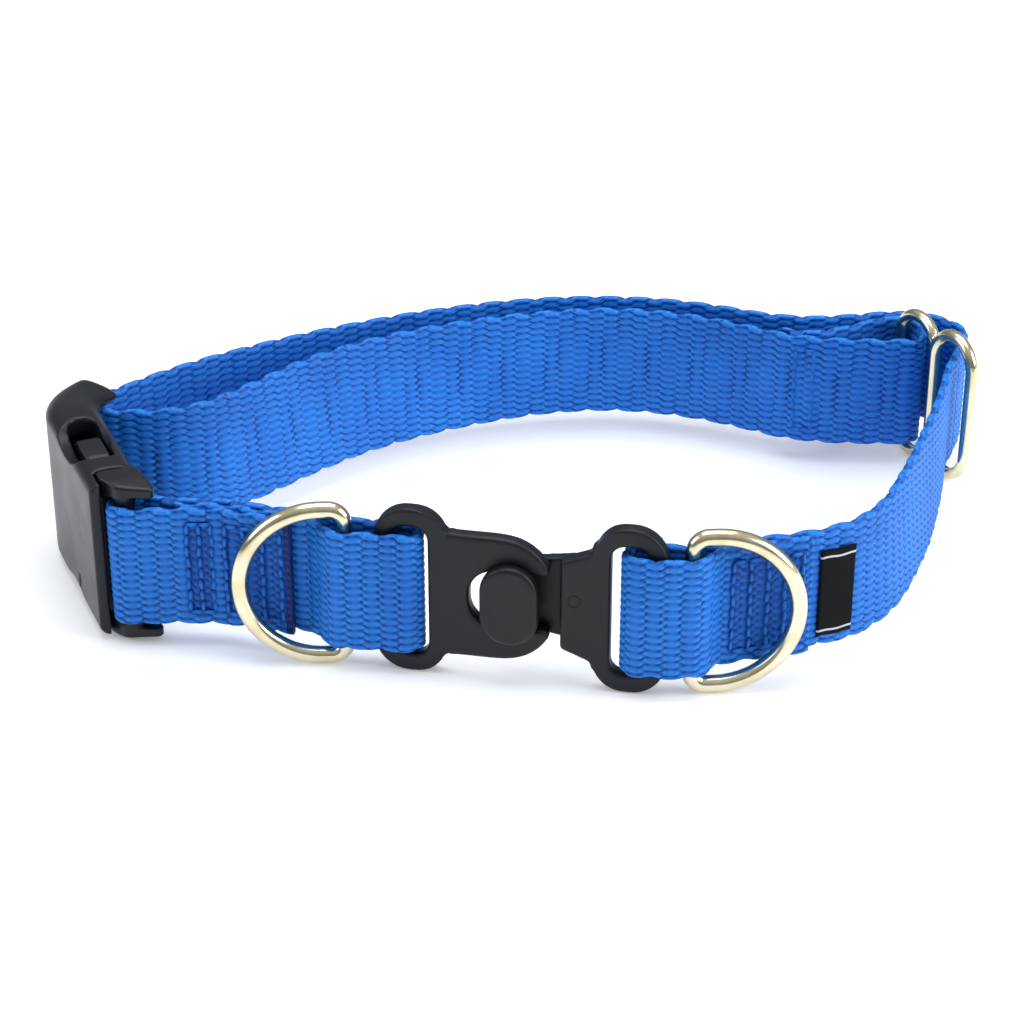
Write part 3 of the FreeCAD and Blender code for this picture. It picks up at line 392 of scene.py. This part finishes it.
def webbing(name, pts, step, lean=None, cut_start=False, cut_end=False, pucker=()):
    pos, nor, dist = walk(pts, step)
    nrow = 66
    wv = np.linspace(0, WW, nrow)
    S, W = np.meshgrid(dist, wv, indexing="ij")
    (hf, tf), (hb, tb) = bead(S, W), bead(S + PC * 0.5, W + PR * 0.25)
    # the face rounds off towards its selvedges
    edge = np.clip(np.minimum(W, WW - W) / 0.9, 0, 1)
    crown = np.sqrt(1 - (1 - edge) ** 2) * 0.55 + 0.45
    th_f = (HT - 0.46) * crown + 0.44 * hf * (0.35 + 0.65 * crown)
    th_b = (HT - 0.46) * crown + 0.44 * hb * (0.35 + 0.65 * crown)
    # painted shade: the sewn areas are darkened, most in the stitch grooves, on top of being pressed down
    painted_shade_f, painted_shade_b = np.zeros(S.shape), np.zeros(S.shape)
    for d0, d1, cols, on_back in pucker:
        inside = np.clip((S - d0) / 1.2, 0, 1) * np.clip((d1 - S) / 1.2, 0, 1) * np.clip((11.2 - np.abs(W - WW / 2)) / 1.5, 0, 1)
        near = np.full(S.shape, 9.0)
        for c in cols:
            near = np.minimum(near, np.abs(S - c))
        groove = np.exp(-(near / 0.62) ** 2)
        lump = 0.5 + 0.5 * np.cos(2 * math.pi * (W + 0.9 * np.sin(S * 1.7)) / 2.35)
        down = inside * (0.30 * groove + 0.16 * (1 - lump))
        if on_back:
            th_b = th_b - down
            painted_shade_b = np.maximum(painted_shade_b, inside * (0.30 + 0.5 * groove))
        else:
            th_f = th_f - down
            painted_shade_f = np.maximum(painted_shade_f, inside * (0.30 + 0.5 * groove))
    # the painted shade of the sewn areas darkens the bead colour value
    tf, tb = tf * (1 - painted_shade_f), tb * (1 - painted_shade_b)
    z = W - WW / 2
    sc = 0.62 * (np.abs(np.cos(math.pi * S / (2 * PC))) ** 0.65 - 0.62)
    z = z * (1.0 + sc / (WW / 2) * (np.abs(z) / (WW / 2)) ** 6)
    le = np.zeros(len(dist))
    if lean is not None:
        key = np.array([p[2] for p in lean])
        lp = np.array([[p[0], p[1]] for p in lean])
        near = [int(np.argmin(np.hypot(pos[:, 0] - x, pos[:, 1] - y) + 1e3 * (np.abs(dist / dist[-1] - f) > 0.5)))
                for x, y, f in [(a[0], a[1], a[3]) for a in lean]]
        order = np.argsort(near)
        le = np.interp(dist, dist[np.array(near)[order]], np.radians(key[order]))
    ncol = len(dist)
    n3 = np.stack([nor[:, 0], nor[:, 1]], -1)
    out = []
    for th, sg in ((th_f, -1.0), (th_b, 1.0)):
        off = sg * th + np.tan(le)[:, None] * z
        X = pos[:, 0][:, None] + n3[:, 0][:, None] * off
        Y = pos[:, 1][:, None] + n3[:, 1][:, None] * off
        out.append(np.stack([X + DX, Y + DY, z + MID], -1) * MM)
    verts = np.concatenate([out[0].reshape(-1, 3), out[1].reshape(-1, 3)])
    yarn = np.concatenate([np.stack([S, W, tf], -1).reshape(-1, 3), np.stack([S, W, tb], -1).reshape(-1, 3)])
    idx = np.arange(ncol * nrow).reshape(ncol, nrow)
    a, b, c, d = idx[:-1, :-1], idx[1:, :-1], idx[1:, 1:], idx[:-1, 1:]
    front = np.stack([a, b, c, d], -1).reshape(-1, 4)
    o = ncol * nrow
    back = np.stack([a + o, d + o, c + o, b + o], -1).reshape(-1, 4)
    low = np.stack([idx[:-1, 0], idx[:-1, 0] + o, idx[1:, 0] + o, idx[1:, 0]], -1)
    high = np.stack([idx[:-1, -1], idx[1:, -1], idx[1:, -1] + o, idx[:-1, -1] + o], -1)
    s0 = np.stack([idx[0, :-1], idx[0, 1:], idx[0, 1:] + o, idx[0, :-1] + o], -1)
    s1 = np.stack([idx[-1, :-1], idx[-1, :-1] + o, idx[-1, 1:] + o, idx[-1, 1:]], -1)
    faces = np.concatenate([front, back, low, high, s0, s1])
    ob = new_mesh(name, verts, faces, BLUE)
    at = ob.data.attributes.new("yarn", "FLOAT_VECTOR", "POINT")
    at.data.foreach_set("vector", yarn.astype(np.float32).ravel())
    ob.data.materials.append(CUT_END_AND_SHADE)
    mid = np.array([p.center[:] for p in ob.data.polygons]) * 0
    nf = len(front)
    mat = np.zeros(len(faces), int)
    # a band about 1 mm from each cut end takes the darker cut-end material: partly the sealed end, partly painted shade
    band = int(round(1.0 / step)) + 1
    col = np.repeat(np.arange(ncol - 1), nrow - 1)
    for flag, cond, endf in ((cut_start, col < band, slice(nf * 2 + 2 * (ncol - 1), nf * 2 + 2 * (ncol - 1) + nrow - 1)),
                             (cut_end, col >= ncol - 1 - band, slice(nf * 2 + 2 * (ncol - 1) + nrow - 1, None))):
        if flag:
            mat[:nf][cond] = 1
            mat[nf:2 * nf][cond] = 1
            mat[endf] = 1
    ob.data.polygons.foreach_set("material_index", mat.tolist())
    bm = bmesh.new()
    bm.from_mesh(ob.data)
    bmesh.ops.recalc_face_normals(bm, faces=bm.faces)
    bm.to_mesh(ob.data)
    bm.free()
    return ob


la = math.dist(OUT_LEFT[0], OUT_LEFT[1])
lb = math.dist(OUT_LEFT[1], A_END)
left_cols = [lb + la - 2.4 - (la - 3.6) * c / 2 for c in range(3)] + [lb - 1.8 - (lb - 3.6) * c / 3 for c in range(4)]
left = webbing("strap_front_left", LEFT, 0.42, cut_start=True, cut_end=True, pucker=[
    (1.0, lb - 0.6, left_cols, True), (lb + 0.8, lb + la - 1.6, left_cols, True)])
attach(left, "collar")
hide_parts("left_webbing")

back = webbing("strap_back", BACK, 0.65, cut_start=True, lean=[
    (86, 39.9, 0, 0.1), (6, 55.4, 0, 0.3), (-21, 45, -5, 0.35), (-44, 28.4, -9, 0.4), (-62, 8.5, -6, 0.4),
    (-78, 3.4, 0, 0.45), (-82, 17, 0, 0.5), (100, 50, 0, 0.95)])
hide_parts("main_webbing_back")
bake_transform(back)

seam = (40.4 - TOP_RIGHT[0][0]) / (TOP_RIGHT[1][0] - TOP_RIGHT[0][0])
R0 = (40.4, TOP_RIGHT[0][1] + (TOP_RIGHT[1][1] - TOP_RIGHT[0][1]) * seam)
lr = math.dist(R0, R_END)
fl = walk(FRONT, 1.0)[2][-1]
right_cols = [fl - lr + 1.6 + (lr - 3.6) * c / 4 for c in range(5)]
front = webbing("strap_front_right", FRONT, 0.45, pucker=[(fl - lr + 0.6, fl - 1.0, right_cols, False)], lean=[
    (96, 28, 0, 0.02), (86, -8, -6, 0.2), (78, -29, -6, 0.35), (66.5, -45.8, -2, 0.45), (58, -49.3, 0, 0.5), (36, -55, 0, 0.7)])
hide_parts("main_webbing_front")
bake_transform(front)


# ---------------------------------------------------------------- stitches
def stitches(name, runs, body, node):
    """Rounded thread stitches laid on a ply's outer face."""
    verts, faces, yarn = [], [], []
    for p0, p1, marks in runs:
        t = Vector((p1[0] - p0[0], p1[1] - p0[1], 0)).normalized()
        n = Vector((t.y, -t.x, 0))
        up = Vector((0, 0, 1))
        for i, (d, z, along, ln, skew) in enumerate(marks):
            c = Vector((p0[0] + DX, p0[1] + DY, MID)) + t * d + up * z + n * (HT + 0.02)
            axis = (t if along else up)
            other = (up if along else t)
            ax = (axis + other * skew).normalized()
            ot = n.cross(ax)
            m, q = 9, 8
            base = len(verts)
            for a in range(m):
                u = -1 + 2 * a / (m - 1)
                rad = 0.36 * (1 - abs(u) ** 3.0) ** 0.5 + 0.02
                lift = 0.20 * (1 - u * u) - 0.10
                for b in range(q):
                    f = 2 * math.pi * b / q
                    p = c + ax * (u * ln / 2) + n * (lift + rad * math.sin(f) * 0.8) + ot * (rad * math.cos(f))
                    verts.append(p * MM)
                    # painted shade and highlight: each stitch is lightest on its crown and darker towards its ends,
                    # where it sinks into the webbing
                    yarn.append((z * 3 + d, u * 3 + b, 0.45 + 0.55 * (1 - u * u)))
            for a in range(m - 1):
                for b in range(q):
                    b2 = (b + 1) % q
                    faces.append((base + a * q + b, base + a * q + b2, base + (a + 1) * q + b2, base + (a + 1) * q + b))
            faces.append(tuple(base + b for b in reversed(range(q))))
            faces.append(tuple(base + (m - 1) * q + b for b in range(q)))
    ob = new_mesh(name, verts, faces, THREAD)
    at = ob.data.attributes.new("yarn", "FLOAT_VECTOR", "POINT")
    at.data.foreach_set("vector", np.array(yarn, np.float32).ravel())
    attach(ob, body)
    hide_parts(node)
    return ob


def sewn(d0, d1, half, columns):
    marks = []
    n = max(2, int((d1 - d0) / 2.5))
    for i in range(n):
        d = d0 + (d1 - d0) * (i + 0.5) / n
        for z in (half, -half):
            marks.append((d, z, True, 2.5, 0.06))
    m = int(2 * half / 2.35)
    for c in range(columns):
        d = d0 + (d1 - d0) * c / (columns - 1)
        for i in range(m):
            z = -half + 2 * half * (i + 0.5) / m
            marks.append((d + 0.12 * math.sin(i * 2.1 + c), z, False, 2.35, 0.10 * math.sin(i * 1.3 + c * 2)))
    return marks


stitches("stitching_left_buckle_end", [(OUT_LEFT[0], OUT_LEFT[1], sewn(2.4, la - 1.2, 9.8, 3))], "collar", "left_stitches_buckle_end")
stitches("stitching_left_ring_end", [(OUT_LEFT[1], A_END, sewn(1.8, lb - 1.8, 9.8, 4))], "collar", "left_stitches_ring_end")
stitches("stitching_right", [(R0, R_END, sewn(1.6, lr - 2.0, 9.8, 5))], "breakaway_post", "right_stitches")
stitches("stitching_slider", [((62.9, 42.47), (69.0, 40.9), sewn(0.8, 5.0, 9.8, 2))], "collar", "slider_stitches")


# ---------------------------------------------------- moulded and cast parts
def softened(node, name, mat, voxel, times, cuts=(), factor=0.5, shape=None):
    """A finely meshed copy of a node's shape with its corners eased."""
    src = NODES[node]
    ob = bpy.data.objects.new(name, src.data.copy())
    scene.collection.objects.link(ob)
    ob.data.materials.clear()
    bm = bmesh.new()
    bm.from_mesh(ob.data)
    bmesh.ops.remove_doubles(bm, verts=bm.verts, dist=1e-6)
    bm.to_mesh(ob.data)
    bm.free()
    bpy.context.view_layer.objects.active = ob
    for i, c in enumerate(cuts):
        md = ob.modifiers.new("cut%d" % i, "BOOLEAN")
        md.operation, md.object, md.solver = "DIFFERENCE", c, "EXACT"
        bpy.ops.object.modifier_apply(modifier=md.name)
    rm = ob.modifiers.new("remesh", "REMESH")
    rm.mode, rm.voxel_size, rm.adaptivity = "VOXEL", voxel * MM, 0.0
    bpy.ops.object.modifier_apply(modifier="remesh")
    if shape is not None:
        co = np.empty(len(ob.data.vertices) * 3)
        ob.data.vertices.foreach_get("co", co)
        co = co.reshape(-1, 3)
        shape(co)
        ob.data.vertices.foreach_set("co", co.ravel())
        ob.data.update()
    sm = ob.modifiers.new("smooth", "SMOOTH")
    sm.factor, sm.iterations = factor, times
    bpy.ops.object.modifier_apply(modifier="smooth")
    for c in cuts:
        bpy.data.objects.remove(c)
    ob.data.polygons.foreach_set("use_smooth", [True] * len(ob.data.polygons))
    ob.data.materials.append(mat)
    return ob


def carry(ob, node, body):
    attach(ob, body)
    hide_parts(node)


SA = math.radians(112.5)
S0 = (-79.3 + DX, -32.4 + DY)


def srb(p, q, z):
    return Vector((S0[0] + p * math.cos(SA) - q * math.sin(SA), S0[1] + p * math.sin(SA) + q * math.cos(SA), MID + z)) * MM


def blob(loc, size, angle):
    bpy.ops.mesh.primitive_uv_sphere_add(segments=32, ring_count=16, location=loc)
    o = bpy.context.active_object
    o.scale = [v * MM for v in size]
    o.rotation_euler = (0, 0, angle)
    bpy.context.view_layer.update()
    return o


def ease(x):
    x = np.clip(x, 0, 1)
    return x * x * (3 - 2 * x)


def local_s(co):
    x, y = co[:, 0] / MM - S0[0], co[:, 1] / MM - S0[1]
    return x * math.cos(SA) + y * math.sin(SA), -x * math.sin(SA) + y * math.cos(SA), co[:, 2] / MM - MID


def round_shell(co):
    """Crowns the shell's two edges across its thickness and slims its back end."""
    p, q, z = local_s(co)
    bx, by = p - 28.7, q + 17.0
    bent = p > 28.7
    qc = np.where(bent, np.hypot(bx, by) - 17.0, q)
    run = np.where(bent, 28.7 + 17.0 * np.arctan2(bx, by), p)
    az = np.abs(z)
    g = 1.0 - 0.42 * ease((run - 27.0) / 19.0)
    top = np.clip(az - 13.7, 0, None) * g
    top = top * (1.0 - 0.42 * np.clip(np.abs(qc) / 5.5, 0, 1.05) ** 3)
    az = np.where(az > 13.7, 13.7 + top, az)
    co[:, 2] = (np.sign(z) * az + MID) * MM


def round_shoulder(co):
    """Thins the shoulders towards their front into wedges."""
    p, q, z = local_s(co)
    az = np.abs(z)
    t = ease((-p - 1.5) / 8.5)
    up = 17.6 - (17.6 - az) * (1.0 - 0.5 * t) - 0.9 * ease((-p - 4.0) / 7.0)
    co[:, 2] = np.where((p < -1.5) & (az > 13.2), (np.sign(z) * np.maximum(up, 13.2) + MID) * MM, co[:, 2])


dimple = blob(srb(11.0, 5.7, -12.2), (0.9, 0.9, 1.9), SA)
scoop_top = blob(srb(15.0, 1.9, 18.9), (9.0, 6.2, 5.0), SA)
scoop_low = blob(srb(15.0, 1.9, -18.9), (9.0, 6.2, 5.0), SA)
carry(softened("buckle_female", "buckle_shell_moulding", BUCKLE, 0.36, 9, cuts=(dimple, scoop_top, scoop_low), shape=round_shell), "buckle_female", "buckle_shell")
carry(softened("buckle_male_base", "buckle_base_moulding", BUCKLE, 0.32, 5, shape=round_shoulder), "buckle_male_base", "collar")
carry(softened("prong_upper", "buckle_prong_upper", BUCKLE, 0.26, 16), "prong_upper", "release_prong_upper")
carry(softened("prong_lower", "buckle_prong_lower", BUCKLE, 0.26, 16), "prong_lower", "release_prong_lower")

BU, BN = (0.98058, -0.19612), (-0.19612, -0.98058)


def brk(u, n, z):
    return Vector((DX + u * BU[0] + n * BN[0], -52.8 + DY + u * BU[1] + n * BN[1], MID + z)) * MM


def local_b(co):
    x, y = co[:, 0] / MM - DX, co[:, 1] / MM + 52.8 - DY
    return x * BU[0] + y * BU[1], x * BN[0] + y * BN[1], co[:, 2] / MM - MID


def round_ring(co, uc, r, zc, plate_side):
    """Brings a web ring's outer corners in to half circles."""
    u, n, z = local_b(co)
    du, dz = u - uc, np.abs(z) - zc
    far = np.hypot(du, dz)
    hit = (dz > 0) & (far > r) & (np.abs(du) < 8.2) & ~((du * plate_side > 0) & (dz < 2.9))
    k = np.where(hit, r / np.maximum(far, 1e-6), 1.0)
    nu, nz = uc + du * k, np.where(hit, np.sign(z) * (zc + dz * k), z)
    nu = np.where(hit, nu, u)
    co[:, 0] = (nu * BU[0] + n * BN[0] + DX) * MM
    co[:, 1] = (nu * BU[1] + n * BN[1] - 52.8 + DY) * MM
    co[:, 2] = (nz + MID) * MM


def shape_receiver(co):
    u, n, z = local_b(co)
    az = np.abs(z)
    was = np.interp(u, [0.85, 1.6, 2.4, 3.0, 3.89, 6.9, 7.6], [12.2, 12.13, 11.9, 11.6, 11.02, 8.25, 7.1])
    now = np.interp(u, [-12.6, -3.2, -1.0, 1.0, 2.6, 4.2, 5.6, 6.7, 7.6], [13.4, 13.4, 13.25, 12.85, 12.2, 11.3, 10.1, 8.7, 7.1])
    on = (u > -12.0) & (az > 6.2)
    az = np.where(on, 6.2 + (az - 6.2) * (now - 6.2) / (was - 6.2), az)
    co[:, 2] = (np.sign(z) * az + MID) * MM
    round_ring(co, -19.9, 7.3, 10.7, 1)


def shape_post(co):
    round_ring(co, 23.15, 7.25, 10.75, -1)


carry(softened("breakaway_receiver", "breakaway_receiver_moulding", BLACK, 0.28, 14, shape=shape_receiver), "breakaway_receiver", "collar")
post = softened("breakaway_post_half", "breakaway_post_moulding", BLACK, 0.28, 14, shape=shape_post)
bpy.ops.mesh.primitive_torus_add(major_segments=48, minor_segments=10, major_radius=1.25 * MM, minor_radius=0.17 * MM)
mark = bpy.context.active_object
for v in mark.data.vertices:
    u, z, n = v.co.x / MM, v.co.y / MM, v.co.z / MM
    v.co = brk(12.4 + u, 1.66 + n, 1.3 + z)
mark.data.materials.append(BLACK)
mark.data.polygons.foreach_set("use_smooth", [True] * len(mark.data.polygons))
bpy.ops.object.select_all(action="DESELECT")
mark.select_set(True)
post.select_set(True)
bpy.context.view_layer.objects.active = post
bpy.ops.object.join()
carry(post, "breakaway_post_half", "breakaway_post")


def tube(name, pts, radius, mat, closed=True, q=20):
    """Round wire through points (mm), as a mesh."""
    pts = [Vector(p) for p in pts]
    n = len(pts)
    verts, faces = [], []
    centre = sum(pts, Vector()) / n
    a, b = pts[0] - centre, pts[n // 4] - centre
    plane = a.cross(b).normalized()
    for i in range(n):
        t = (pts[(i + 1) % n] - pts[i - 1]).normalized()
        side = t.cross(plane).normalized()
        for k in range(q):
            f = 2 * math.pi * k / q
            verts.append((pts[i] + side * (radius * math.cos(f)) + plane * (radius * math.sin(f))) * MM)
    for i in range(n):
        j = (i + 1) % n
        for k in range(q):
            k2 = (k + 1) % q
            faces.append((i * q + k, i * q + k2, j * q + k2, j * q + k))
    return new_mesh(name, verts, faces, mat)


def stadium(cx, half_w, half_h, n=40):
    pts = []
    zc = half_h - half_w
    for i in range(n + 1):
        f = math.pi * i / n
        pts.append((cx + half_w * math.cos(f), zc + half_w * math.sin(f)))
    for i in range(1, 24):
        pts.append((cx - half_w, zc - 2 * zc * i / 24))
    for i in range(n + 1):
        f = math.pi + math.pi * i / n
        pts.append((cx + half_w * math.cos(f), -zc + half_w * math.sin(f)))
    for i in range(1, 24):
        pts.append((cx + half_w, -zc + 2 * zc * i / 24))
    return pts


SL = math.radians(-61.5)


def sl(u, z):
    return (94.4 + DX + u * math.cos(SL), 38.9 + DY + u * math.sin(SL), MID + z)


rings = [tube("ring%d" % i, [sl(u, z) for u, z in stadium(cx, 6.5, 16.45)], 1.38, GOLD) for i, cx in enumerate((-6.5, 6.5))]
bpy.ops.object.select_all(action="DESELECT")
for r in rings:
    r.select_set(True)
bpy.context.view_layer.objects.active = rings[0]
bpy.ops.object.join()
sld = bpy.context.active_object
sld.name = "slider_casting"
rm = sld.modifiers.new("remesh", "REMESH")
rm.mode, rm.voxel_size = "VOXEL", 0.22 * MM
bpy.ops.object.modifier_apply(modifier="remesh")
sm = sld.modifiers.new("smooth", "SMOOTH")
sm.factor, sm.iterations = 0.5, 8
bpy.ops.object.modifier_apply(modifier="smooth")
sld.data.polygons.foreach_set("use_smooth", [True] * len(sld.data.polygons))
sld.data.materials.clear()
sld.data.materials.append(GOLD)
carry(sld, "slider", "collar")

for n in ("d_ring_left", "d_ring_right"):
    me = NODES[n].data
    me.materials.clear()
    me.materials.append(GOLD)
    me.polygons.foreach_set("use_smooth", [True] * len(me.polygons))


# ------------------------------------------------------------------- label
def label():
    m = Mat("black_woven_label")
    at = m.n("ShaderNodeAttribute", attribute_name="yarn")
    sep = m.n("ShaderNodeSeparateXYZ")
    m.l(at.outputs["Vector"], sep.inputs[0])
    wx = m.n("ShaderNodeTexWave")
    wx.inputs["Scale"].default_value = 1.7
    m.l(at.outputs["Vector"], wx.inputs["Vector"])
    stripe = m.math("LESS_THAN", m.math("ABSOLUTE", m.math("SUBTRACT", m.math("ABSOLUTE", sep.outputs[1], 0), 8.2), 0), 0.22)
    base = m.ramp(wx.outputs["Fac"], [(0.0, srgb(4, 4, 6)), (1.0, srgb(20, 21, 25))])
    mx = m.n("ShaderNodeMix", data_type="RGBA")
    m.l(stripe, mx.inputs["Factor"])
    m.l(base, mx.inputs["A"])
    mx.inputs["B"].default_value = srgb(205, 208, 214)
    m.l(mx.outputs["Result"], m.b.inputs["Base Color"])
    m.b.inputs["Roughness"].default_value = 0.72
    m.b.inputs["Specular IOR Level"].default_value = 0.12
    m.l(m.bump(wx.outputs["Fac"], 0.4, 0.0001), m.b.inputs["Normal"])
    p0, p1 = (59.0, -48.98), (66.2, -45.76)
    t = unit((p1[0] - p0[0], p1[1] - p0[1]))
    nn = (t[1], -t[0])
    ln = math.dist(p0, p1)
    verts, yarn = [], []
    nu, nv = 30, 64
    for side in (0, 1):
        for i in range(nu + 1):
            for j in range(nv + 1):
                d = ln * i / nu
                z = -9.6 + 19.2 * j / nv
                rim = min(1.0, min(d, ln - d, 9.6 - abs(z)) / 0.5 + 0.001)
                off = HT + 0.12 + (0.10 + 0.42 * math.sqrt(max(0.0, 1 - (1 - rim) ** 2)) + 0.05 * math.sin(z * 0.9)) * side
                verts.append(((p0[0] + t[0] * d + nn[0] * off + DX) * MM, (p0[1] + t[1] * d + nn[1] * off + DY) * MM,
                              (MID - 1 + z + 0.12 * math.sin(d * 1.1)) * MM))
                yarn.append((d * 3, z, 0.5))
    idx = lambda s, i, j: s * (nu + 1) * (nv + 1) + i * (nv + 1) + j
    faces = []
    for i in range(nu):
        for j in range(nv):
            faces.append((idx(1, i, j), idx(1, i + 1, j), idx(1, i + 1, j + 1), idx(1, i, j + 1)))
            faces.append((idx(0, i, j), idx(0, i, j + 1), idx(0, i + 1, j + 1), idx(0, i + 1, j)))
    for i in range(nu):
        faces.append((idx(0, i, 0), idx(0, i + 1, 0), idx(1, i + 1, 0), idx(1, i, 0)))
        faces.append((idx(0, i, nv), idx(1, i, nv), idx(1, i + 1, nv), idx(0, i + 1, nv)))
    for j in range(nv):
        faces.append((idx(0, 0, j), idx(1, 0, j), idx(1, 0, j + 1), idx(0, 0, j + 1)))
        faces.append((idx(0, nu, j), idx(0, nu, j + 1), idx(1, nu, j + 1), idx(1, nu, j)))
    ob = new_mesh("label_woven", verts, faces, m.m)
    a = ob.data.attributes.new("yarn", "FLOAT_VECTOR", "POINT")
    a.data.foreach_set("vector", np.array(yarn, np.float32).ravel())
    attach(ob, "breakaway_post")
    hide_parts("woven_label")


label()

# ------------------------------------------------------------ floor and light
bpy.ops.mesh.primitive_plane_add(size=6.0, location=(0, 0, 0))
floor = bpy.context.active_object
floor.name = "floor"
fm = Mat("white_floor")
tc = fm.n("ShaderNodeTexCoord")
no = fm.n("ShaderNodeTexNoise")
no.inputs["Scale"].default_value = 3.0
fm.l(tc.outputs["Object"], no.inputs["Vector"])
fm.l(fm.ramp(no.outputs["Fac"], [(0.0, (0.93, 0.93, 0.935, 1)), (1.0, (0.95, 0.95, 0.95, 1))]), fm.b.inputs["Base Color"])
fm.b.inputs["Emission Color"].default_value = (1.0, 1.0, 1.0, 1)
fm.b.inputs["Emission Strength"].default_value = 0.22
fm.b.inputs["Roughness"].default_value = 0.35
fm.b.inputs["Specular IOR Level"].default_value = 0.25
floor.data.materials.append(fm.m)

world = bpy.data.worlds.new("studio")
scene.world = world
world.use_nodes = True
wt = world.node_tree
wc = wt.nodes.new("ShaderNodeTexCoord")
ws = wt.nodes.new("ShaderNodeSeparateXYZ")
wr = wt.nodes.new("ShaderNodeValToRGB")
wt.links.new(wc.outputs["Generated"], ws.inputs[0])
wt.links.new(ws.outputs[2], wr.inputs["Fac"])
el = wr.color_ramp.elements
el[0].position, el[0].color = 0.0, (0.34, 0.37, 0.42, 1)
el[1].position, el[1].color = 0.75, (1.0, 1.0, 1.0, 1)
e = el.new(0.28)
e.color = (0.44, 0.48, 0.54, 1)
wt.links.new(wr.outputs["Color"], wt.nodes["Background"].inputs["Color"])
wt.nodes["Background"].inputs["Strength"].default_value = 0.56


def area(name, loc, target, size, power, color=(1, 1, 1)):
    li = bpy.data.lights.new(name, "AREA")
    li.shape, li.size, li.energy, li.color = "SQUARE", size, power, color
    o = bpy.data.objects.new(name, li)
    scene.collection.objects.link(o)
    o.location = loc
    o.rotation_euler = (Vector(target) - Vector(loc)).to_track_quat("-Z", "Y").to_euler()


area("left_softbox", (-0.80, -0.12, 0.50), (0, 0, 0.02), 0.55, 2.7, (0.84, 0.92, 1.0))
area("top_softbox", (0.0, 0.1, 0.85), (0, 0, 0.02), 0.7, 5.2, (0.93, 0.965, 1.0))
area("right_softbox", (0.80, -0.22, 0.40), (0, 0, 0.02), 0.5, 6.2)
scene.view_settings.view_transform = "Standard"
scene.view_settings.look = "None"
